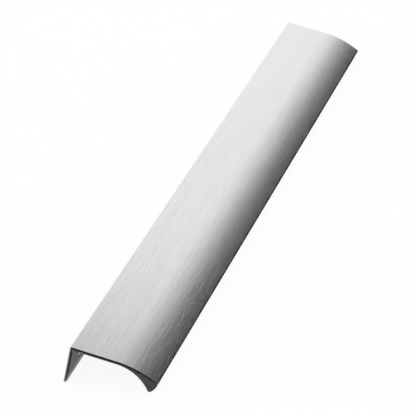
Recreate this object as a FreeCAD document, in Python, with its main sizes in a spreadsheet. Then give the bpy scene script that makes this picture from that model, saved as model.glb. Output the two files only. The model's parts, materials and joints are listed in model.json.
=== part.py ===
import FreeCAD, Part
import math
import os

import Sketcher

# Finger pull profile for the edge of a cabinet door or a drawer front: one length of extruded
# aluminium. A flat plate lies on the door's edge, a short flange hangs behind the door and is
# screwed to its back, and a lip curves down in front, with a hollow beneath it for the fingers.

# Each size: its name, its value in millimetres or degrees, and what it measures
SIZES = [
    ("profile_length", 350.0, "cut length of the profile"),
    ("profile_depth", 37.3, "back of the flange to the front of the lip"),
    ("plate_thickness", 1.3, "wall of the flat plate"),
    ("flat_width", 18.8, "back of the flange to the start of the bend in the top"),
    ("bend_radius", 43.0, "radius of the top of the lip"),
    ("flange_height", 16.3, "top of the plate to the foot of the flange"),
    ("flange_thickness", 1.4, "wall of the flange"),
    ("back_edge_radius", 0.55, "rounding where the plate meets the back of the flange"),
    ("inner_corner_radius", 0.4, "fillet between the plate and the front of the flange"),
    ("lip_drop", 8.95, "top of the plate to the lowest point of the lip"),
    ("grip_start", 19.8, "back of the flange to the start of the hollow"),
    ("grip_radius", 17.0, "radius of the hollow for the fingers"),
    ("nose_radius", 7.5, "radius of the front of the lip"),
    ("nose_edge_radius", 0.6, "rounding between the top and the front of the lip"),
    ("lip_edge_radius", 0.8, "rounding of the lip's lower edge"),
    ("end_chamfer", 0.4, "edge break round the outline of both cut ends"),
    ("screw_count", 3, "screw holes in the flange, evenly spaced"),
    ("screw_end_distance", 15.0, "cut end to the middle of the nearest screw hole"),
    ("screw_drop", 9.6, "top of the plate to the middle of the screw holes"),
    ("screw_hole_diameter", 4.5, "clearance hole for a screw with a 4 mm thread"),
    ("screw_head_diameter", 6.3, "mouth of the countersink in the back of the flange"),
    ("countersink_angle", 90.0, "full angle of the countersink"),
]

# Ends of a line or an arc, as a sketch numbers them
FIRST_END = 1
SECOND_END = 2
CENTRE = 3

# The sketch's own origin and axes
SKETCH_AXIS_ACROSS = -1
SKETCH_AXIS_UP = -2
ORIGIN = (-1, 1)

RIGHT_ANGLE = math.pi / 2
HALF_TURN = math.pi
FULL_TURN = 2 * math.pi
SKETCH_NORMAL = FreeCAD.Vector(0, 0, 1)
ON_PLANE = 1e-6


def make_sheet(doc):
    """Write the driving sizes into a sheet, one row each."""
    sheet = doc.addObject("Spreadsheet::Sheet", "Sizes")
    for row, (alias, value, meaning) in enumerate(SIZES, start=1):
        sheet.set(f"A{row}", meaning)
        sheet.set(f"B{row}", str(value))
        sheet.setAlias(f"B{row}", alias)
    doc.recompute()
    return sheet


def origin_plane(body, role):
    """Find one of the body's own origin planes by its role."""
    for feature in body.Origin.OriginFeatures:
        if feature.Role == role:
            return feature
    raise LookupError(role)


def new_sketch(body, name, plane):
    """Start a sketch on one of the body's origin planes."""
    sketch = body.newObject("Sketcher::SketchObject", name)
    sketch.AttachmentSupport = [(plane, "")]
    sketch.MapMode = "FlatFace"
    return sketch


def line(start, end):
    """Give a straight edge of the section from its two ends, as (across, up)."""
    return Part.LineSegment(FreeCAD.Vector(*start, 0), FreeCAD.Vector(*end, 0))


def arc(centre, radius, start_angle, end_angle):
    """Give a round edge of the section, which runs anticlockwise."""
    circle = Part.Circle(FreeCAD.Vector(*centre, 0), SKETCH_NORMAL, radius)
    return Part.ArcOfCircle(circle, start_angle, end_angle)


def bearing(start, end):
    """Give the angle at which one point of the section sees another."""
    return math.atan2(end[1] - start[1], end[0] - start[0])


def centre_between(first, first_distance, second, second_distance):
    """Find the point at two set distances from two points, to the right of the way between them."""
    span = math.dist(first, second)
    along = (first_distance**2 - second_distance**2 + span**2) / (2 * span)
    aside = math.sqrt(first_distance**2 - along**2)
    way = bearing(first, second)
    return (
        first[0] + along * math.cos(way) + aside * math.sin(way),
        first[1] + along * math.sin(way) - aside * math.cos(way),
    )


def section_outline(size):
    """List the section's edges clockwise from the top of the plate, each tangent to the next.

    Each entry is a name, an edge, and the ends at which the outline enters and leaves it.
    """
    foot_radius = size.flange_thickness / 2
    foot_centre = (foot_radius, foot_radius - size.flange_height)
    back_edge_centre = (size.back_edge_radius, -size.back_edge_radius)
    inner_corner_centre = (
        size.flange_thickness + size.inner_corner_radius,
        -size.plate_thickness - size.inner_corner_radius,
    )

    bend_centre = (size.flat_width, -size.bend_radius)
    nose_edge_reach = size.profile_depth - size.nose_edge_radius - size.flat_width
    nose_edge_distance = size.bend_radius - size.nose_edge_radius
    nose_edge_centre = (
        size.flat_width + nose_edge_reach,
        bend_centre[1] + math.sqrt(nose_edge_distance**2 - nose_edge_reach**2),
    )

    grip_centre = (size.grip_start, -size.plate_thickness - size.grip_radius)
    lip_edge_rise = size.lip_edge_radius - size.lip_drop - grip_centre[1]
    lip_edge_distance = size.grip_radius + size.lip_edge_radius
    lip_edge_centre = (
        grip_centre[0] + math.sqrt(lip_edge_distance**2 - lip_edge_rise**2),
        grip_centre[1] + lip_edge_rise,
    )

    nose_centre = centre_between(
        nose_edge_centre,
        size.nose_radius - size.nose_edge_radius,
        lip_edge_centre,
        size.nose_radius - size.lip_edge_radius,
    )
    bend_end = bearing(bend_centre, nose_edge_centre)
    nose_top = bearing(nose_centre, nose_edge_centre)
    nose_bottom = bearing(nose_centre, lip_edge_centre)
    grip_end = bearing(grip_centre, lip_edge_centre)

    convex = (SECOND_END, FIRST_END)
    concave = (FIRST_END, SECOND_END)
    straight = (FIRST_END, SECOND_END)
    return [
        ("plate_top", line((back_edge_centre[0], 0), (bend_centre[0], 0)), straight),
        ("bend", arc(bend_centre, size.bend_radius, bend_end, RIGHT_ANGLE), convex),
        ("nose_edge", arc(nose_edge_centre, size.nose_edge_radius, nose_top, bend_end), convex),
        ("nose", arc(nose_centre, size.nose_radius, nose_bottom, nose_top), convex),
        (
            "lip_edge",
            arc(lip_edge_centre, size.lip_edge_radius, grip_end - HALF_TURN, nose_bottom),
            convex,
        ),
        ("grip", arc(grip_centre, size.grip_radius, grip_end, RIGHT_ANGLE), concave),
        (
            "plate_underside",
            line(
                (grip_centre[0], -size.plate_thickness),
                (inner_corner_centre[0], -size.plate_thickness),
            ),
            straight,
        ),
        (
            "inner_corner",
            arc(inner_corner_centre, size.inner_corner_radius, RIGHT_ANGLE, HALF_TURN),
            concave,
        ),
        (
            "flange_front",
            line(
                (size.flange_thickness, inner_corner_centre[1]),
                (size.flange_thickness, foot_centre[1]),
            ),
            straight,
        ),
        ("flange_foot", arc(foot_centre, foot_radius, HALF_TURN, FULL_TURN), convex),
        ("flange_back", line((0, foot_centre[1]), (0, back_edge_centre[1])), straight),
        ("back_edge", arc(back_edge_centre, size.back_edge_radius, RIGHT_ANGLE, HALF_TURN), convex),
    ]


def bind(sketch, name, constraint, expression):
    """Add a dimension to a sketch and tie it to the sheet."""
    index = sketch.addConstraint(constraint)
    sketch.renameConstraint(index, name)
    sketch.setExpression(f"Constraints.{name}", expression)


def draw_section(body, size):
    """Draw the extruded section, fully constrained, and tie each dimension to the sheet."""
    sketch = new_sketch(body, "Section", origin_plane(body, "XZ_Plane"))
    outline = section_outline(size)
    edges = {}
    for name, edge, _ in outline:
        edges[name] = sketch.addGeometry(edge)
    for (name, _, ends), (next_name, _, next_ends) in zip(outline, outline[1:] + outline[:1]):
        sketch.addConstraint(
            Sketcher.Constraint("Tangent", edges[name], ends[1], edges[next_name], next_ends[0])
        )
    plate_top = edges["plate_top"]
    flange_back = edges["flange_back"]
    sketch.addConstraint(Sketcher.Constraint("Horizontal", plate_top))
    sketch.addConstraint(Sketcher.Constraint("Horizontal", edges["plate_underside"]))
    sketch.addConstraint(Sketcher.Constraint("Vertical", edges["flange_front"]))
    sketch.addConstraint(Sketcher.Constraint("Vertical", flange_back))
    sketch.addConstraint(
        Sketcher.Constraint("PointOnObject", plate_top, SECOND_END, SKETCH_AXIS_ACROSS)
    )
    sketch.addConstraint(
        Sketcher.Constraint("PointOnObject", flange_back, FIRST_END, SKETCH_AXIS_UP)
    )

    def radius(edge_name, expression):
        """Tie the radius of a round edge."""
        edge = edges[edge_name]
        value = sketch.Geometry[edge].Radius
        constraint = Sketcher.Constraint("Radius", edge, value)
        bind(sketch, f"{edge_name}_radius", constraint, expression)

    def across(edge_name, end, expression):
        """Tie how far in front of the flange's back a point lies."""
        edge = edges[edge_name]
        value = sketch.getPoint(edge, end).x
        constraint = Sketcher.Constraint("DistanceX", *ORIGIN, edge, end, value)
        bind(sketch, f"{edge_name}_across", constraint, expression)

    def below(edge_name, end, expression):
        """Tie how far below the top of the plate a point lies."""
        edge = edges[edge_name]
        value = -sketch.getPoint(edge, end).y
        constraint = Sketcher.Constraint("DistanceY", edge, end, *ORIGIN, value)
        bind(sketch, f"{edge_name}_below", constraint, expression)

    across("plate_top", SECOND_END, "Sizes.flat_width")
    radius("bend", "Sizes.bend_radius")
    radius("nose_edge", "Sizes.nose_edge_radius")
    across("nose_edge", CENTRE, "Sizes.profile_depth - Sizes.nose_edge_radius")
    radius("nose", "Sizes.nose_radius")
    radius("lip_edge", "Sizes.lip_edge_radius")
    below("lip_edge", CENTRE, "Sizes.lip_drop - Sizes.lip_edge_radius")
    radius("grip", "Sizes.grip_radius")
    across("grip", CENTRE, "Sizes.grip_start")
    below("plate_underside", FIRST_END, "Sizes.plate_thickness")
    radius("inner_corner", "Sizes.inner_corner_radius")
    across("flange_front", FIRST_END, "Sizes.flange_thickness")
    below("flange_foot", CENTRE, "Sizes.flange_height - Sizes.flange_thickness / 2")
    radius("back_edge", "Sizes.back_edge_radius")
    return sketch, edges


def extrude_section(body, section):
    """Extrude the section to the cut length, half to each side of its plane."""
    extrusion = body.newObject("PartDesign::Pad", "Extrusion")
    extrusion.Profile = section
    extrusion.SideType = "Symmetric"
    extrusion.setExpression("Length", "Sizes.profile_length")
    return extrusion


def end_edges(extrusion, size):
    """Name the edges that lie in the two sawn ends of the extrusion."""
    end = size.profile_length / 2
    names = []
    for index, edge in enumerate(extrusion.Shape.Edges, start=1):
        box = edge.BoundBox
        if abs(abs(box.Center.y) - end) < ON_PLANE and box.YLength < ON_PLANE:
            names.append(f"Edge{index}")
    return names


def break_ends(body, extrusion, size):
    """Break the edge round both sawn ends, as a deburred cut has it."""
    chamfer = body.newObject("PartDesign::Chamfer", "EndBreaks")
    chamfer.Base = (extrusion, end_edges(extrusion, size))
    chamfer.setExpression("Size", "Sizes.end_chamfer")


def drill_flange(doc, body, size):
    """Countersink the screw holes through the flange from its back, evenly spaced."""
    radius = size.screw_hole_diameter / 2
    from_middle = size.profile_length / 2 - size.screw_end_distance
    centres = new_sketch(body, "FirstScrew", origin_plane(body, "YZ_Plane"))
    circle = Part.Circle(
        FreeCAD.Vector(-from_middle, -size.screw_drop, 0), SKETCH_NORMAL, radius
    )
    first_screw = centres.addGeometry(circle)
    bind(
        centres,
        "hole_radius",
        Sketcher.Constraint("Radius", first_screw, radius),
        "Sizes.screw_hole_diameter / 2",
    )
    bind(
        centres,
        "from_middle",
        Sketcher.Constraint("DistanceX", first_screw, CENTRE, *ORIGIN, from_middle),
        "Sizes.profile_length / 2 - Sizes.screw_end_distance",
    )
    bind(
        centres,
        "from_top",
        Sketcher.Constraint("DistanceY", first_screw, CENTRE, *ORIGIN, size.screw_drop),
        "Sizes.screw_drop",
    )
    doc.recompute()

    hole = body.newObject("PartDesign::Hole", "ScrewHole")
    hole.Profile = centres
    hole.ThreadType = "None"
    hole.HoleCutType = "Countersink"
    hole.HoleCutCustomValues = True
    hole.DepthType = "Dimension"
    hole.DrillPoint = "Flat"
    hole.Reversed = True
    hole.setExpression("Depth", "2 * Sizes.flange_thickness")
    hole.setExpression("Diameter", "Sizes.screw_hole_diameter")
    hole.setExpression("HoleCutDiameter", "Sizes.screw_head_diameter")
    hole.setExpression("HoleCutCountersinkAngle", "Sizes.countersink_angle")
    doc.recompute()

    row = body.newObject("PartDesign::LinearPattern", "ScrewHoles")
    row.Originals = [hole]
    row.Direction = (centres, ["H_Axis"])
    row.Mode = "Extent"
    row.setExpression("Length", "Sizes.profile_length - 2 * Sizes.screw_end_distance")
    row.setExpression("Occurrences", "Sizes.screw_count")
    body.Tip = row


def rest_angle(section, edges):
    """Give the tilt, in degrees, at which the foot and the lip both lie on a level floor."""
    foot = section.Geometry[edges["flange_foot"]]
    lip = section.Geometry[edges["lip_edge"]]
    reach = lip.Center.x - foot.Center.x
    rise = lip.Center.y - foot.Center.y
    centre_line = math.atan2(rise, reach)
    rounding = math.asin((foot.Radius - lip.Radius) / math.hypot(reach, rise))
    return math.degrees(centre_line + rounding)


def lay_down(body, angle):
    """Turn the part onto its foot and lip, with its origin under its middle, on the floor."""
    turn = FreeCAD.Rotation(FreeCAD.Vector(0, 1, 0), angle)
    body.Placement = FreeCAD.Placement(FreeCAD.Vector(0, 0, 0), turn)
    box = body.Shape.optimalBoundingBox(False)
    base = FreeCAD.Vector(-box.Center.x, 0, -box.ZMin)
    body.Placement = FreeCAD.Placement(base, turn)


def check(doc, body):
    """Stop if any object failed or the part isn't one sound solid."""
    for item in doc.Objects:
        if "Invalid" in item.State or "Error" in item.State:
            raise RuntimeError(f"{item.Name} failed: {item.State}")
    shape = body.Shape
    if shape.isNull() or not shape.isValid() or len(shape.Solids) != 1:
        raise RuntimeError(f"{body.Label} isn't one sound solid")


def build():
    """Build the profile and write it out."""
    doc = FreeCAD.newDocument("FingerPullProfile")
    size = make_sheet(doc)
    body = doc.addObject("PartDesign::Body", "Profile")
    body.Label = "pull_profile"
    section, edges = draw_section(body, size)
    doc.recompute()
    extrusion = extrude_section(body, section)
    doc.recompute()
    break_ends(body, extrusion, size)
    doc.recompute()
    drill_flange(doc, body, size)
    doc.recompute()
    check(doc, body)
    lay_down(body, rest_angle(section, edges))
    doc.recompute()
    check(doc, body)
    os.makedirs("parts", exist_ok=True)
    body.Shape.exportStep(f"parts/{body.Label}.step")


build()
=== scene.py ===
"""A handleless finger pull profile in brushed aluminium, dressed for its photograph.

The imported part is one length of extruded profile. This scene models it again as one smooth
mesh, from the same sizes, with its brushed skin, its sawn ends and its countersunk holes, and
sets it on a pale studio floor in front of a camera at the photograph's angle.
"""

import json
import logging
import math
from dataclasses import dataclass, field
from enum import Enum
from typing import Callable

import bmesh
import bpy
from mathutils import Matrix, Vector

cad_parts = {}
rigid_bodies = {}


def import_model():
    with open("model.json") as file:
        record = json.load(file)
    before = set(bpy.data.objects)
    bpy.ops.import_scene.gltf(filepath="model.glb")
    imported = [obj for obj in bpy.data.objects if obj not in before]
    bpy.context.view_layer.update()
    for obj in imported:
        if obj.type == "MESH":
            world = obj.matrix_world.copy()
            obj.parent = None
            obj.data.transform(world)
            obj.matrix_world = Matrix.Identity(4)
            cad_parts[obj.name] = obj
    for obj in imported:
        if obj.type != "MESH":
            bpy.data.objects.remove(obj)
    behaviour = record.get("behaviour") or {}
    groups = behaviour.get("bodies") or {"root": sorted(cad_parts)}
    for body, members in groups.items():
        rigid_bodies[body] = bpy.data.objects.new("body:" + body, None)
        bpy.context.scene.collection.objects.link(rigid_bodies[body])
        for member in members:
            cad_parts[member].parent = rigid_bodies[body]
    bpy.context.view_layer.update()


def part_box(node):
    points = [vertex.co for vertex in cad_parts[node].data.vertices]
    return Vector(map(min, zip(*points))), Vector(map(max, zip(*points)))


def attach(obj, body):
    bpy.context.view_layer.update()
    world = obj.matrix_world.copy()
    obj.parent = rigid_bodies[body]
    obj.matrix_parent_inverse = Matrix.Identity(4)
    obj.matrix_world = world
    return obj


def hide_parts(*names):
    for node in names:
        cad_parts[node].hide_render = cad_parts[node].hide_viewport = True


log = logging.getLogger("finger_pull")

CAD_NODE = "pull_profile"
CAD_BODY = "root"
MM = 0.001
ON_PLANE = 1e-6
RIGHT_ANGLE = math.pi / 2
HALF_TURN = math.pi
FULL_TURN = 2 * math.pi
SMOOTH_UNDER = math.radians(30)
QUARTER_TURN_SHARE = 0.25
NOISE_LOW = 0.3
NOISE_MIDDLE = 0.5
NOISE_HIGH = 0.7
WHITE = (1.0, 1.0, 1.0)

Colour = tuple[float, float, float]
Value = bpy.types.NodeSocket | float


class Turn(Enum):
    """Which way the outline of the section goes on, seen along the profile from its near end."""

    STRAIGHT = 0
    RIGHT = 1
    LEFT = -1


class Finish(Enum):
    """What the making of the part left on a face, with painted shade in some colours, in the order
    of the material slots.
    """

    BRUSHED = 0
    MILL = 1
    SAWN = 2
    CUT = 3
    DRILLED = 4
    DRAWN = 5


@dataclass(frozen=True)
class Run:
    """One stretch of the section's outline.

    A straight run has a length. A round run has a radius, a sweep and a number of facets.
    """

    turn: Turn
    size: float
    sweep: float = 0.0
    steps: int = 1


@dataclass(frozen=True)
class PullSection:
    """The extruded section, with x across from the flange's back and z up from the plate's top."""

    depth: float = 37.3 * MM
    plate: float = 1.3 * MM
    flat: float = 18.8 * MM
    bend: float = 43.0 * MM
    flange_height: float = 16.3 * MM
    flange: float = 1.4 * MM
    back_edge: float = 0.55 * MM
    inner_corner: float = 0.4 * MM
    lip_drop: float = 8.95 * MM
    grip_start: float = 19.8 * MM
    grip: float = 17.0 * MM
    nose: float = 7.5 * MM
    nose_edge: float = 0.6 * MM
    lip_edge: float = 0.8 * MM
    wide_facets: int = 32
    nose_facets: int = 12
    foot_facets: int = 16
    edge_facets: int = 10
    corner_facets: int = 6

    @property
    def foot(self) -> float:
        """Radius of the flange's rounded foot."""
        return self.flange / 2

    def lip_edge_centre(self) -> Vector:
        """Find the centre of the lip's lower edge, which rolls off the finger hollow.

        Returns:
            The centre, as (across, up).
        """
        rise = self.lip_edge - self.lip_drop + self.plate + self.grip
        reach = math.sqrt((self.grip + self.lip_edge) ** 2 - rise**2)
        return Vector((self.grip_start + reach, self.lip_edge - self.lip_drop))

    def nose_edge_centre(self) -> Vector:
        """Find the centre of the rounding between the bend and the nose.

        Returns:
            The centre, as (across, up).
        """
        across = self.depth - self.nose_edge
        distance = self.bend - self.nose_edge
        up = -self.bend + math.sqrt(distance**2 - (across - self.flat) ** 2)
        return Vector((across, up))

    def nose_centre(self) -> Vector:
        """Find the centre of the nose, which holds both of its edges inside its own circle.

        Returns:
            The centre, as (across, up).
        """
        top, bottom = self.nose_edge_centre(), self.lip_edge_centre()
        span = (bottom - top).length
        from_top, from_bottom = self.nose - self.nose_edge, self.nose - self.lip_edge
        along = (from_top**2 - from_bottom**2 + span**2) / (2 * span)
        aside = math.sqrt(from_top**2 - along**2)
        way = (bottom - top) / span
        return top + along * way + aside * Vector((way.y, -way.x))

    def headings(self) -> list[float]:
        """Work out how far the outline has turned right after each round run of the lip.

        Returns:
            The headings after the bend, the nose's edge, the nose and the lip's edge.
        """
        bend_centre = Vector((self.flat, -self.bend))
        grip_centre = Vector((self.grip_start, -self.plate - self.grip))
        nose_edge, lip_edge = self.nose_edge_centre(), self.lip_edge_centre()
        nose = self.nose_centre()
        spokes = [
            nose_edge - bend_centre,
            nose_edge - nose,
            lip_edge - nose,
            grip_centre - lip_edge,
        ]
        return [math.atan2(spoke.x, spoke.y) % FULL_TURN for spoke in spokes]

    def runs(self) -> list[Run]:
        """List the outline clockwise, from the end of the flat plate right round to its start.

        Returns:
            The runs, each tangent to the one before it.
        """
        bend, nose_edge, nose, lip_edge = self.headings()
        return [
            Run(Turn.RIGHT, self.bend, bend, self.wide_facets),
            Run(Turn.RIGHT, self.nose_edge, nose_edge - bend, self.edge_facets),
            Run(Turn.RIGHT, self.nose, nose - nose_edge, self.nose_facets),
            Run(Turn.RIGHT, self.lip_edge, lip_edge - nose, self.nose_facets),
            Run(Turn.LEFT, self.grip, lip_edge - HALF_TURN, self.wide_facets),
            Run(Turn.STRAIGHT, self.grip_start - self.flange - self.inner_corner),
            Run(Turn.LEFT, self.inner_corner, RIGHT_ANGLE, self.corner_facets),
            Run(
                Turn.STRAIGHT,
                self.flange_height - self.plate - self.inner_corner - self.foot,
            ),
            Run(Turn.RIGHT, self.foot, HALF_TURN, self.foot_facets),
            Run(Turn.STRAIGHT, self.flange_height - self.foot - self.back_edge),
            Run(Turn.RIGHT, self.back_edge, RIGHT_ANGLE, self.edge_facets),
        ]

    def rest_tilt(self) -> float:
        """Work out the tilt at which the foot and the lip both touch a level floor.

        Returns:
            The turn about the profile's length, in radians.
        """
        foot = Vector((self.foot, self.foot - self.flange_height))
        between = self.lip_edge_centre() - foot
        rounding = math.asin((self.foot - self.lip_edge) / between.length)
        return math.atan2(between.y, between.x) + rounding


@dataclass(frozen=True)
class BrushedAluminium:
    """Aluminium brushed along the profile: fine scratches that spread light across it.

    Streaks are the long scratches and hairs the short fine ones between them. The grain is
    calmer on the far part of the flat plate, full on the bend, and painted shade darkens the near
    end.
    """

    name: str = "brushed_aluminium_skin"
    colour: Colour = (0.84, 0.84, 0.84)
    dark_streak: Colour = (0.52, 0.52, 0.52)
    roughness: float = 0.31
    anisotropy: float = 0.8
    streaks_per_metre: float = 2000.0
    hairs_per_metre: float = 3000.0
    streak_stretch: float = 0.0085
    hair_stretch: float = 0.04
    streak_detail: float = 1.6
    hair_detail: float = 2.0
    streak_share: float = 0.45
    clean_above: float = 0.66
    streak_depth: float = 0.43
    hair_depth: float = 0.85
    streak_relief: float = 0.1 * MM
    hair_relief: float = 0.065 * MM
    smoother: float = 0.015
    rougher: float = 0.02
    # painted shade on the near end: where it starts, where it ends and how dark it gets
    painted_shade_from: float = 60.0 * MM
    painted_shade_to: float = 176.0 * MM
    painted_end_shade: float = 0.27
    calm_from: float = -120.0 * MM
    calm_to: float = 80.0 * MM
    calm_share: float = 0.25
    bend_from: float = -1.0 * MM
    bend_to: float = 9.0 * MM
    bend_share: float = 1.0

    def material(self) -> bpy.types.Material:
        """Build the finish.

        Returns:
            A metal whose streaks run along the profile.
        """
        tree = NodeTree.for_material(self.name)
        streaks = tree.stretched_noise(
            self.streaks_per_metre, self.streak_stretch, self.streak_detail
        )
        hairs = tree.stretched_noise(
            self.hairs_per_metre, self.hair_stretch, self.hair_detail
        )
        shader = tree.metal(self.colour, self.roughness)
        shader.inputs["Anisotropic"].default_value = self.anisotropy
        shader.inputs["Anisotropic Rotation"].default_value = QUARTER_TURN_SHARE
        tree.link(self.grain_colour(tree, streaks, hairs), shader.inputs["Base Color"])
        roughness = tree.map_range(
            hairs,
            NOISE_LOW,
            NOISE_HIGH,
            self.roughness - self.smoother,
            self.roughness + self.rougher,
        )
        tree.link(roughness, shader.inputs["Roughness"])
        coarse = tree.bump(streaks, self.streak_depth, self.streak_relief)
        fine = tree.bump(hairs, self.hair_depth, self.hair_relief, coarse)
        tree.link(fine, shader.inputs["Normal"])
        tree.link(tree.along_profile(), shader.inputs["Tangent"])
        return tree.material

    def grain_colour(
        self, tree: "NodeTree", streaks: bpy.types.NodeSocket, hairs: bpy.types.NodeSocket
    ) -> bpy.types.NodeSocket:
        """Darken the metal where the grain is deep, and towards the near end as painted shade.

        Args:
            tree: The finish's node tree.
            streaks: The long scratches.
            hairs: The short fine scratches.

        Returns:
            The colour.
        """
        towards_end = tree.math("MULTIPLY", tree.place_along("Y"), -1.0)
        # painted shade: from 60 mm on the near side of the middle to the near end, the grain and
        # so the colour are pulled darker
        near_end = tree.map_range(
            towards_end, self.painted_shade_from, self.painted_shade_to, 0.0, math.sqrt(self.painted_end_shade)
        )
        painted_end_shade = tree.math("MULTIPLY", near_end, near_end)
        on_flat = tree.map_range(
            towards_end, self.calm_from, self.calm_to, self.calm_share, 1.0
        )
        on_bend = tree.map_range(
            tree.place_along("X"), self.bend_from, self.bend_to, 0.0, self.bend_share
        )
        clear = tree.math("MAXIMUM", on_flat, on_bend)
        grain = tree.mix(hairs, streaks, self.streak_share)
        grain = tree.math("SUBTRACT", tree.mix(NOISE_MIDDLE, grain, clear), painted_end_shade)
        return tree.blend_colours(
            grain, self.dark_streak, self.colour, 0.0, self.clean_above
        )


@dataclass(frozen=True)
class MillAndShadedAluminium:
    """The unbrushed inside: mill satin with faint lines where the die drew it, darker as painted
    shade.
    """

    name: str = "mill_and_shaded_aluminium"
    # colour: darker than the brushed skin, partly for the mill's satin and partly as painted shade
    # on the faces under the plate
    colour: Colour = (0.60, 0.60, 0.60)
    dark_line: Colour = (0.48, 0.48, 0.48)
    roughness: float = 0.42
    lines_per_metre: float = 1500.0
    stretch: float = 0.05
    detail: float = 3.0
    dark_below: float = 0.35
    clean_above: float = 0.65
    line_depth: float = 0.2
    line_relief: float = 0.05 * MM

    def material(self) -> bpy.types.Material:
        """Build the finish.

        Returns:
            A satin metal with the die's lines along the profile.
        """
        tree = NodeTree.for_material(self.name)
        lines = tree.stretched_noise(self.lines_per_metre, self.stretch, self.detail)
        shader = tree.metal(self.colour, self.roughness)
        colour = tree.blend_colours(
            lines, self.dark_line, self.colour, self.dark_below, self.clean_above
        )
        relief = tree.bump(lines, self.line_depth, self.line_relief)
        tree.link(colour, shader.inputs["Base Color"])
        tree.link(relief, shader.inputs["Normal"])
        return tree.material


@dataclass(frozen=True)
class SmoothAluminium:
    """Metal without brush lines: smooth but for fine marks, as filed, drilled or drawn."""

    name: str = "cut_and_shaded_aluminium"
    # default colour: darker than the brushed skin, partly the cut's own tone and partly painted
    # shade that draws the broken edges dark
    colour: Colour = (0.55, 0.55, 0.55)
    roughness: float = 0.16
    smoother: float = 0.03
    rougher: float = 0.04
    marks_per_metre: float = 9000.0
    stretch: tuple[float, float, float] = (1.0, 0.1, 0.1)
    detail: float = 2.0
    mark_depth: float = 0.1
    mark_relief: float = 0.02 * MM

    def material(self) -> bpy.types.Material:
        """Build the finish.

        Returns:
            A smooth bare metal.
        """
        tree = NodeTree.for_material(self.name)
        marks = tree.noise(self.marks_per_metre, self.stretch, self.detail)
        shader = tree.metal(self.colour, self.roughness)
        roughness = tree.map_range(
            marks,
            NOISE_LOW,
            NOISE_HIGH,
            self.roughness - self.smoother,
            self.roughness + self.rougher,
        )
        relief = tree.bump(marks, self.mark_depth, self.mark_relief)
        tree.link(roughness, shader.inputs["Roughness"])
        tree.link(relief, shader.inputs["Normal"])
        return tree.material


@dataclass(frozen=True)
class SawnAndShadedAluminium:
    """The bare cut of a saw across the profile: dull, dark partly as painted shade, fine marks
    across it.
    """

    name: str = "sawn_and_shaded_aluminium"
    # colour: dark partly for the dullness of the saw cut and partly as painted shade of the end
    # faces
    colour: Colour = (0.33, 0.33, 0.33)
    light_mark: Colour = (0.56, 0.56, 0.56)
    roughness: float = 0.5
    marks_per_metre: float = 1400.0
    stretch: tuple[float, float, float] = (0.15, 1.0, 1.0)
    detail: float = 2.0
    dull_below: float = 0.35
    light_above: float = 0.75
    mark_depth: float = 0.3
    mark_relief: float = 0.05 * MM

    def material(self) -> bpy.types.Material:
        """Build the finish.

        Returns:
            A dull metal, darkened partly as painted shade, with the saw's marks.
        """
        tree = NodeTree.for_material(self.name)
        marks = tree.noise(self.marks_per_metre, self.stretch, self.detail)
        shader = tree.metal(self.colour, self.roughness)
        colour = tree.blend_colours(
            marks, self.colour, self.light_mark, self.dull_below, self.light_above
        )
        relief = tree.bump(marks, self.mark_depth, self.mark_relief)
        tree.link(colour, shader.inputs["Base Color"])
        tree.link(relief, shader.inputs["Normal"])
        return tree.material


@dataclass(frozen=True)
class StudioFloor:
    """A pale floor that shows white, and still takes the shadow of what stands on it."""

    name: str = "studio_floor"
    colour: Colour = (0.97, 0.97, 0.97)
    glow: float = 0.92
    roughness: float = 0.9

    def material(self) -> bpy.types.Material:
        """Build the finish.

        Returns:
            A matt pale surface, part of whose white doesn't depend on the light.
        """
        tree = NodeTree.for_material(self.name)
        shader = tree.surface(self.colour, self.roughness)
        white = tree.node("ShaderNodeEmission")
        mix = tree.node("ShaderNodeMixShader")
        tree.link(tree.seen_rays(self.glow), mix.inputs["Fac"])
        tree.link(shader.outputs["BSDF"], mix.inputs[1])
        tree.link(white.outputs["Emission"], mix.inputs[2])
        tree.link(mix.outputs["Shader"], tree.output.inputs["Surface"])
        return tree.material


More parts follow.
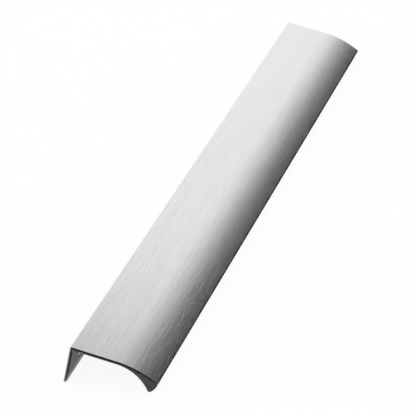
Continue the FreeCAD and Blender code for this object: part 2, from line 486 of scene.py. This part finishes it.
@dataclass
class NodeTree:
    """A node tree with the few building blocks that the finishes share."""

    tree: bpy.types.NodeTree
    output: bpy.types.Node
    material: bpy.types.Material | None = None

    @classmethod
    def for_material(cls, name: str) -> "NodeTree":
        """Start an empty material.

        Args:
            name: The material's name.

        Returns:
            Its node tree, with only an output.
        """
        material = bpy.data.materials.new(name)
        material.use_nodes = True
        material.node_tree.nodes.clear()
        output = material.node_tree.nodes.new("ShaderNodeOutputMaterial")
        return cls(material.node_tree, output, material)

    def node(self, kind: str) -> bpy.types.Node:
        """Add a node of one kind."""
        return self.tree.nodes.new(kind)

    def link(self, source: bpy.types.NodeSocket, target: bpy.types.NodeSocket) -> None:
        """Join an output to an input."""
        self.tree.links.new(source, target)

    def feed(self, value: Value, target: bpy.types.NodeSocket) -> None:
        """Give an input its value, by a link or as a number."""
        if isinstance(value, bpy.types.NodeSocket):
            self.link(value, target)
        else:
            target.default_value = value

    def surface(self, colour: Colour, roughness: float) -> bpy.types.Node:
        """Add the surface shader and join it to the output.

        Args:
            colour: The base colour.
            roughness: The roughness.

        Returns:
            The shader.
        """
        shader = self.node("ShaderNodeBsdfPrincipled")
        shader.inputs["Base Color"].default_value = (*colour, 1.0)
        shader.inputs["Roughness"].default_value = roughness
        self.link(shader.outputs["BSDF"], self.output.inputs["Surface"])
        return shader

    def metal(self, colour: Colour, roughness: float) -> bpy.types.Node:
        """Add the surface shader as bare metal.

        Args:
            colour: The base colour.
            roughness: The roughness.

        Returns:
            The shader.
        """
        shader = self.surface(colour, roughness)
        shader.inputs["Metallic"].default_value = 1.0
        return shader

    def noise(
        self, scale: float, stretch: tuple[float, float, float], detail: float
    ) -> bpy.types.NodeSocket:
        """Add noise in the object's own coordinates.

        Args:
            scale: Grains to the metre.
            stretch: Share of that scale on each axis.
            detail: Octaves of finer noise.

        Returns:
            The noise value.
        """
        place = self.node("ShaderNodeTexCoord")
        mapping = self.node("ShaderNodeMapping")
        mapping.inputs["Scale"].default_value = stretch
        noise = self.node("ShaderNodeTexNoise")
        noise.inputs["Scale"].default_value = scale
        noise.inputs["Detail"].default_value = detail
        self.link(place.outputs["Object"], mapping.inputs["Vector"])
        self.link(mapping.outputs["Vector"], noise.inputs["Vector"])
        return noise.outputs["Fac"]

    def stretched_noise(
        self, scale: float, stretch: float, detail: float
    ) -> bpy.types.NodeSocket:
        """Add noise drawn out along the profile.

        Args:
            scale: Streaks to the metre, across the profile.
            stretch: Share of that scale along the profile.
            detail: Octaves of finer noise.

        Returns:
            The noise value.
        """
        return self.noise(scale, (1.0, stretch, 1.0), detail)

    def map_range(
        self,
        value: bpy.types.NodeSocket,
        low: float,
        high: float,
        to_low: float,
        to_high: float,
    ) -> bpy.types.NodeSocket:
        """Spread a value from one range to another.

        Args:
            value: The value.
            low: Low end of its own range.
            high: High end of its own range.
            to_low: What the low end becomes.
            to_high: What the high end becomes.

        Returns:
            The new value, held within the new range.
        """
        node = self.node("ShaderNodeMapRange")
        settings = {
            "From Min": low,
            "From Max": high,
            "To Min": to_low,
            "To Max": to_high,
        }
        for socket, setting in settings.items():
            node.inputs[socket].default_value = setting
        self.link(value, node.inputs["Value"])
        return node.outputs["Result"]

    def blend_colours(
        self,
        value: bpy.types.NodeSocket,
        low_colour: Colour,
        high_colour: Colour,
        low: float,
        high: float,
    ) -> bpy.types.NodeSocket:
        """Blend two colours by a value.

        Args:
            value: The value.
            low_colour: The colour at the low end.
            high_colour: The colour at the high end.
            low: The value where the low colour ends.
            high: The value where the high colour starts.

        Returns:
            The colour.
        """
        ramp = self.node("ShaderNodeValToRGB")
        ramp.color_ramp.elements[0].position = low
        ramp.color_ramp.elements[0].color = (*low_colour, 1.0)
        ramp.color_ramp.elements[1].position = high
        ramp.color_ramp.elements[1].color = (*high_colour, 1.0)
        self.link(value, ramp.inputs["Fac"])
        return ramp.outputs["Color"]

    def bump(
        self,
        height: bpy.types.NodeSocket,
        strength: float,
        distance: float,
        under: bpy.types.NodeSocket | None = None,
    ) -> bpy.types.NodeSocket:
        """Turn a height into relief.

        Args:
            height: The height.
            strength: How much of the relief shows.
            distance: Height of the relief, in metres.
            under: A relief that this one lies on.

        Returns:
            The normal.
        """
        node = self.node("ShaderNodeBump")
        node.inputs["Strength"].default_value = strength
        node.inputs["Distance"].default_value = distance
        self.link(height, node.inputs["Height"])
        if under is not None:
            self.link(under, node.inputs["Normal"])
        return node.outputs["Normal"]

    def math(self, operation: str, first: Value, second: Value) -> bpy.types.NodeSocket:
        """Join two values by a sum of one kind.

        Args:
            operation: The kind, as the node names it.
            first: The first value.
            second: The second value.

        Returns:
            The result.
        """
        node = self.node("ShaderNodeMath")
        node.operation = operation
        self.feed(first, node.inputs[0])
        self.feed(second, node.inputs[1])
        return node.outputs["Value"]

    def mix(self, first: Value, second: Value, share: Value) -> bpy.types.NodeSocket:
        """Mix two values.

        Args:
            first: The first value.
            second: The second value.
            share: How much of the second one the mix has.

        Returns:
            The mix.
        """
        node = self.node("ShaderNodeMix")
        node.data_type = "FLOAT"
        self.feed(share, node.inputs["Factor"])
        self.feed(first, node.inputs["A"])
        self.feed(second, node.inputs["B"])
        return node.outputs["Result"]

    def place_along(self, axis: str) -> bpy.types.NodeSocket:
        """Give the distance from the object's own middle along one of its axes.

        Args:
            axis: The axis, as one of X, Y and Z.

        Returns:
            The distance, in metres.
        """
        place = self.node("ShaderNodeTexCoord")
        parts = self.node("ShaderNodeSeparateXYZ")
        self.link(place.outputs["Object"], parts.inputs["Vector"])
        return parts.outputs[axis]

    def along_profile(self) -> bpy.types.NodeSocket:
        """Give the direction of the brushing.

        Returns:
            The object's own length, as the shader needs it.
        """
        turn = self.node("ShaderNodeVectorTransform")
        turn.vector_type = "VECTOR"
        turn.convert_from = "OBJECT"
        turn.convert_to = "WORLD"
        turn.inputs["Vector"].default_value = (0.0, 1.0, 0.0)
        return turn.outputs["Vector"]

    def seen_rays(self, share: float) -> bpy.types.NodeSocket:
        """Give a share of 1 to the rays by which the background is seen, and 0 to all others.

        Args:
            share: The value on those rays.

        Returns:
            The value.
        """
        path = self.node("ShaderNodeLightPath")
        seen = path.outputs["Is Camera Ray"]
        for ray in ("Is Glossy Ray", "Is Transmission Ray"):
            seen = self.math("MAXIMUM", seen, path.outputs[ray])
        return self.map_range(seen, 0.0, 1.0, 0.0, share)


def deselect_all() -> None:
    """Leave nothing selected, the imported part included."""
    for item in bpy.context.view_layer.objects:
        item.select_set(False)


def select_alone(item: bpy.types.Object) -> None:
    """Select one object and no other."""
    deselect_all()
    item.select_set(True)
    bpy.context.view_layer.objects.active = item


def start_edit(item: bpy.types.Object) -> None:
    """Select one object alone and open it in edit mode."""
    select_alone(item)
    bpy.ops.object.mode_set(mode="EDIT")


def end_edit() -> None:
    """Go back to object mode."""
    bpy.ops.object.mode_set(mode="OBJECT")


def pick_edges(item: bpy.types.Object, wanted: Callable[[Vector, Vector], bool]) -> int:
    """Select the edges whose two ends pass a test, and nothing else.

    Args:
        item: The object in edit mode.
        wanted: The test, on the places of an edge's two ends.

    Returns:
        How many edges are selected.
    """
    bpy.ops.mesh.select_mode(type="EDGE")
    bpy.ops.mesh.select_all(action="DESELECT")
    mesh = bmesh.from_edit_mesh(item.data)
    chosen = [e for e in mesh.edges if wanted(e.verts[0].co, e.verts[1].co)]
    for edge in chosen:
        edge.select_set(True)
    mesh.select_flush_mode()
    bmesh.update_edit_mesh(item.data)
    return len(chosen)


@dataclass
class PullProfile:
    """The length of profile: its section drawn out, its ends sawn and its screw holes cut."""

    section: PullSection = field(default_factory=PullSection)
    length: float = 350.0 * MM
    row: float = 10.0 * MM
    end_break: float = 0.4 * MM
    screw_count: int = 3
    screw_end_distance: float = 15.0 * MM
    screw_drop: float = 9.6 * MM
    hole: float = 4.5 * MM
    head: float = 6.3 * MM
    hole_facets: int = 48
    # painted shade: the drilled walls are near black for the shade inside the holes, though
    # drilled aluminium is bright
    drilled: SmoothAluminium = SmoothAluminium(
        name="drilled_aluminium_painted_shade", colour=(0.12, 0.12, 0.12), roughness=0.3
    )
    drawn: SmoothAluminium = SmoothAluminium(
        name="drawn_aluminium", colour=(0.60, 0.60, 0.60), roughness=0.16
    )
    faces_across: float = 0.9
    faces_along: float = 0.1
    past_brush: float = 0.44
    name: str = "pull_profile_skin"

    def build(self) -> bpy.types.Object:
        """Model the profile, lay it down and dress it.

        Returns:
            The finished piece.
        """
        item = self.draw_plate()
        self.draw_outline(item)
        self.close_ends(item)
        self.cut_holes(item)
        self.dress(item)
        self.lay_down(item)
        self.smooth(item)
        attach(item, CAD_BODY)
        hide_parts(CAD_NODE)
        return item

    def draw_plate(self) -> bpy.types.Object:
        """Lay out the flat top of the plate, in short rows along its length.

        Returns:
            The new piece, a flat strip.
        """
        deselect_all()
        width = self.section.flat - self.section.back_edge
        bpy.ops.mesh.primitive_grid_add(
            x_subdivisions=1, y_subdivisions=round(self.length / self.row), size=1.0
        )
        item = bpy.context.active_object
        item.name = self.name
        item.data.name = self.name
        start_edit(item)
        bpy.ops.mesh.select_all(action="SELECT")
        bpy.ops.transform.resize(value=(width, self.length, 1.0))
        bpy.ops.transform.translate(value=(self.section.back_edge + width / 2, 0.0, 0.0))
        end_edit()
        return item

    def draw_outline(self, item: bpy.types.Object) -> None:
        """Carry the plate's front edge round the outline until it meets the plate's back edge.

        Args:
            item: The flat strip.
        """
        start_edit(item)
        place = Vector((self.section.flat, 0.0))
        pick_edges(
            item,
            lambda a, b: abs(a.x - place.x) < ON_PLANE and abs(b.x - place.x) < ON_PLANE,
        )
        heading = 0.0
        for run in self.section.runs():
            ahead = Vector((math.cos(heading), -math.sin(heading)))
            if run.turn is Turn.STRAIGHT:
                step = ahead * run.size
                bpy.ops.mesh.extrude_region_move(
                    TRANSFORM_OT_translate={"value": (step.x, 0.0, step.y)}
                )
                place += step
                continue
            aside = Vector((ahead.y, -ahead.x)) * run.turn.value
            centre = place + aside * run.size
            bpy.ops.mesh.spin(
                steps=run.steps,
                angle=-run.turn.value * run.sweep,
                center=(centre.x, 0.0, centre.y),
                axis=(0.0, 1.0, 0.0),
            )
            heading += run.turn.value * run.sweep
            ahead = Vector((math.cos(heading), -math.sin(heading)))
            aside = Vector((ahead.y, -ahead.x)) * run.turn.value
            place = centre - aside * run.size
        bpy.ops.mesh.select_all(action="SELECT")
        bpy.ops.mesh.remove_doubles(threshold=ON_PLANE)
        end_edit()

    def close_ends(self, item: bpy.types.Object) -> None:
        """Close both ends with a flat face and break the edge round them.

        Args:
            item: The open tube of the section.
        """
        start_edit(item)
        for end in (-self.length / 2, self.length / 2):
            pick_edges(
                item, lambda a, b: abs(a.y - end) < ON_PLANE and abs(b.y - end) < ON_PLANE
            )
            bpy.ops.mesh.edge_face_add()
        bpy.ops.mesh.select_all(action="SELECT")
        bpy.ops.mesh.normals_make_consistent(inside=False)
        reach = self.length / 2 - ON_PLANE
        pick_edges(item, lambda a, b: abs(a.y) > reach and abs(b.y) > reach)
        bpy.ops.mesh.bevel(
            offset=self.end_break, offset_type="OFFSET", segments=1, clamp_overlap=False
        )
        end_edit()

    def screw_places(self) -> list[float]:
        """List where the screw holes stand along the profile."""
        first = self.screw_end_distance - self.length / 2
        pitch = -2 * first / (self.screw_count - 1)
        return [first + pitch * number for number in range(self.screw_count)]

    def cut_holes(self, item: bpy.types.Object) -> None:
        """Cut each screw hole through the flange, with its countersink in the back.

        Args:
            item: The closed profile.
        """
        for place in self.screw_places():
            cutter = self.make_cutter(place)
            select_alone(item)
            cut = item.modifiers.new("screw_hole", "BOOLEAN")
            cut.operation = "DIFFERENCE"
            cut.solver = "EXACT"
            cut.object = cutter
            bpy.ops.object.modifier_apply(modifier=cut.name)
            bpy.data.meshes.remove(cutter.data)

    def make_cutter(self, place: float) -> bpy.types.Object:
        """Model the solid that one screw hole takes out of the flange.

        Args:
            place: Where the hole stands along the profile.

        Returns:
            A round bar along x, flared behind the flange's back.
        """
        sink = (self.head - self.hole) / 2
        over = self.section.flange / 2
        deselect_all()
        bpy.ops.mesh.primitive_circle_add(
            vertices=self.hole_facets,
            radius=self.head / 2 + over,
            fill_type="NGON",
            location=(-over, place, -self.screw_drop),
            rotation=(0.0, -RIGHT_ANGLE, 0.0),
        )
        cutter = bpy.context.active_object
        bpy.ops.object.transform_apply(location=True, rotation=True, scale=True)
        start_edit(cutter)
        bpy.ops.mesh.select_all(action="SELECT")
        flare = (self.hole / 2) / (self.head / 2 + over)
        bpy.ops.mesh.extrude_region_move(
            TRANSFORM_OT_translate={"value": (over + sink, 0.0, 0.0)}
        )
        bpy.ops.transform.resize(
            value=(1.0, flare, flare), center_override=(sink, place, -self.screw_drop)
        )
        bpy.ops.mesh.extrude_region_move(
            TRANSFORM_OT_translate={"value": (2 * self.section.flange - sink, 0.0, 0.0)}
        )
        bpy.ops.mesh.select_all(action="SELECT")
        bpy.ops.mesh.normals_make_consistent(inside=False)
        end_edit()
        return cutter

    def lay_down(self, item: bpy.types.Object) -> None:
        """Turn the profile onto its foot and lip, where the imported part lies.

        Args:
            item: The profile, with its plate level.
        """
        start_edit(item)
        bpy.ops.mesh.select_all(action="SELECT")
        bpy.ops.transform.rotate(
            value=-self.section.rest_tilt(),
            orient_axis="Y",
            center_override=(0.0, 0.0, 0.0),
        )
        end_edit()
        low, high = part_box(CAD_NODE)
        corners = [Vector(v.co) for v in item.data.vertices]
        left = min(c.x for c in corners)
        right = max(c.x for c in corners)
        bottom = min(c.z for c in corners)
        shift = ((low.x + high.x - left - right) / 2, 0.0, low.z - bottom)
        start_edit(item)
        bpy.ops.mesh.select_all(action="SELECT")
        bpy.ops.transform.translate(value=shift)
        end_edit()

    def smooth(self, item: bpy.types.Object) -> None:
        """Shade the round runs smooth and keep the flat ones flat.

        Args:
            item: The profile.
        """
        select_alone(item)
        bpy.ops.object.shade_smooth_by_angle(angle=SMOOTH_UNDER)
        weighted = item.modifiers.new("flat_faces_first", "WEIGHTED_NORMAL")
        weighted.keep_sharp = True
        bpy.ops.object.modifier_apply(modifier=weighted.name)

    def dress(self, item: bpy.types.Object) -> None:
        """Give every face the finish that the making of the part left on it, painted shade
        included.

        Args:
            item: The profile, with its plate level.
        """
        finishes = {
            Finish.BRUSHED: BrushedAluminium(),
            Finish.MILL: MillAndShadedAluminium(),
            Finish.SAWN: SawnAndShadedAluminium(),
            Finish.CUT: SmoothAluminium(),
            Finish.DRILLED: self.drilled,
            Finish.DRAWN: self.drawn,
        }
        item.data.materials.clear()
        for finish in finishes.values():
            item.data.materials.append(finish.material())
        for face in item.data.polygons:
            face.material_index = self.finish_of(face.center, face.normal).value

    def from_hole(self, place: Vector) -> float:
        """Measure how far a place is from the axis of the nearest screw hole.

        Args:
            place: The place, with the plate level.

        Returns:
            The distance.
        """
        return min(
            math.hypot(place.y - row, place.z + self.screw_drop)
            for row in self.screw_places()
        )

    def finish_of(self, place: Vector, normal: Vector) -> Finish:
        """Tell which finish a face has.

        Args:
            place: The face's centre, with the plate level.
            normal: The way it faces.

        Returns:
            The finish.
        """
        end = self.length / 2
        if abs(place.y) > end - ON_PLANE:
            return Finish.SAWN
        if abs(place.y) > end - self.end_break:
            return Finish.CUT
        across = abs(normal.x)
        in_hole = place.x < self.section.flange and self.from_hole(place) < self.head / 2
        if in_hole and across < self.faces_across:
            return Finish.DRILLED if across < self.faces_along else Finish.CUT
        if place.x > self.section.grip_start and normal.x > self.past_brush:
            return Finish.DRAWN
        corner = self.section.flange + self.section.inner_corner
        hollow = place.x > self.section.flange and normal.x < ON_PLANE and normal.z < 0.0
        front = self.section.foot < place.x < corner and normal.x > ON_PLANE
        return Finish.MILL if hollow or front else Finish.BRUSHED


@dataclass(frozen=True)
class Card:
    """A flat panel that stands across the profile's length, behind it or before it.

    Seen along the profile, the panel leans to the right by its lean. Its left, right, bottom and
    top are measured along the leaning panel, from the line on which the profile lies.
    """

    name: str
    along: float
    lean: float
    left: float
    right: float
    bottom: float
    top: float
    level: float


@dataclass(frozen=True)
class Flag:
    """A dark sheet, seen only in reflections, on the floor beside the profile: painted shade of
    the floor that draws its edges dark.
    """

    name: str
    left: float
    right: float
    near: float
    far: float
    level: float


@dataclass
class Studio:
    """The floor, the light and the camera."""

    floor_size: float = 12.0
    world_level: float = 1.0
    cards: tuple[Card, ...] = (
        Card("softbox", 2.5, 11.5, -4.0, 0.14, -0.5, 1.9, 1.21),
        Card("dark_card", 2.5, 11.5, 0.14, 2.2, -3.0, 1.9, 0.0),
        Card("side_card", 2.5, 11.5, 2.2, 12.0, -3.0, 8.0, 0.6),
        Card("ceiling_card", 2.5, 11.5, -4.0, 2.2, 1.9, 2.6, 0.12),
        Card("camera_card", -2.0, 0.0, -3.0, 3.0, 1.5, 9.0, 0.0),
    )
    # painted shade of the floor round the profile, seen only in its reflections: before the near
    # end, beside it and under it
    flags: tuple[Flag, ...] = (
        Flag("near_flag", -0.4, 0.4, -0.9, -0.1757, 0.03),
        Flag("right_flag", 0.0199, 1.2, -0.1757, 2.4, 0.05),
        Flag("edge_flag", 0.0148, 0.0199, -0.1757, 0.1757, 0.05),
        Flag("under_flag", -0.0174, 0.0148, -0.1757, 0.1757, 0.2),
    )
    flag_height: float = 0.2 * MM
    camera_azimuth: float = 16.137
    camera_elevation: float = 25.473
    camera_roll: float = -1.297
    camera_distance: float = 1288.446 * MM
    camera_lens: float = 252.43
    camera_film: float = 36.0
    camera_reach: float = 100.0
    aim: tuple[float, float, float] = (-7.024 * MM, -7.742 * MM, 0.0)

    def build(self) -> None:
        """Set up everything round the part."""
        self.build_floor()
        self.build_world()
        for card in self.cards:
            self.build_card(card)
        for flag in self.flags:
            self.build_flag(flag)
        self.build_camera()

    def build_floor(self) -> None:
        """Lay the floor that the profile lies on."""
        deselect_all()
        bpy.ops.mesh.primitive_plane_add(size=self.floor_size)
        floor = bpy.context.active_object
        floor.name = "studio_floor"
        floor.data.materials.append(StudioFloor().material())

    def build_world(self) -> None:
        """Light the set evenly from all round."""
        world = bpy.data.worlds.new("studio_light")
        world.use_nodes = True
        background = world.node_tree.nodes["Background"]
        background.inputs["Color"].default_value = (*WHITE, 1.0)
        background.inputs["Strength"].default_value = self.world_level
        bpy.context.scene.world = world

    def build_card(self, card: Card) -> None:
        """Stand one card where only reflections show it.

        Args:
            card: The card.
        """
        deselect_all()
        bpy.ops.mesh.primitive_plane_add(size=1.0, rotation=(RIGHT_ANGLE, 0.0, 0.0))
        panel = bpy.context.active_object
        panel.name = card.name
        lean = math.radians(card.lean)
        across, up = (card.left + card.right) / 2, (card.bottom + card.top) / 2
        panel.scale = (card.right - card.left, card.top - card.bottom, 1.0)
        panel.rotation_euler = (RIGHT_ANGLE, lean, 0.0)
        panel.location = (
            across * math.cos(lean) + up * math.sin(lean),
            card.along,
            up * math.cos(lean) - across * math.sin(lean),
        )
        self.show_in_reflections(panel, card.level)

    def build_flag(self, flag: Flag) -> None:
        """Lay one flag down where only reflections show it.

        Args:
            flag: The flag.
        """
        deselect_all()
        middle = ((flag.left + flag.right) / 2, (flag.near + flag.far) / 2)
        bpy.ops.mesh.primitive_plane_add(size=1.0, location=(*middle, self.flag_height))
        panel = bpy.context.active_object
        panel.name = flag.name
        panel.scale = (flag.right - flag.left, flag.far - flag.near, 1.0)
        self.show_in_reflections(panel, flag.level)

    def show_in_reflections(self, panel: bpy.types.Object, level: float) -> None:
        """Make a panel glow evenly, and hide it from all but reflections.

        Args:
            panel: The panel.
            level: How bright it is, where 1 is white.
        """
        tree = NodeTree.for_material(panel.name)
        glow = tree.node("ShaderNodeEmission")
        glow.inputs["Strength"].default_value = level
        tree.link(glow.outputs["Emission"], tree.output.inputs["Surface"])
        panel.data.materials.append(tree.material)
        panel.visible_camera = False
        panel.visible_diffuse = False
        panel.visible_shadow = False

    def build_camera(self) -> None:
        """Set the camera at the photograph's angle."""
        azimuth = math.radians(self.camera_azimuth)
        elevation = math.radians(self.camera_elevation)
        back = Vector(
            (
                math.sin(azimuth) * math.cos(elevation),
                -math.cos(azimuth) * math.cos(elevation),
                math.sin(elevation),
            )
        )
        data = bpy.data.cameras.new("photo_camera")
        data.lens = self.camera_lens
        data.sensor_width = self.camera_film
        data.clip_end = self.camera_reach
        camera = bpy.data.objects.new("photo_camera", data)
        bpy.context.scene.collection.objects.link(camera)
        camera.location = Vector(self.aim) + back * self.camera_distance
        look = (-back).to_track_quat("-Z", "Y").to_matrix().to_4x4()
        camera.rotation_euler = look.to_euler()
        camera.rotation_euler.rotate_axis("Z", math.radians(self.camera_roll))
        bpy.context.scene.camera = camera


def main() -> None:
    """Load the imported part, dress it and set it in the studio."""
    logging.basicConfig(level=logging.INFO, format="%(levelname)s %(message)s")
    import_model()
    profile = PullProfile().build()
    log.info("%s: %d faces", profile.name, len(profile.data.polygons))
    Studio().build()
    log.info("studio ready")
    bpy.context.scene.view_settings.view_transform = "Standard"


if __name__ == "__main__":
    main()
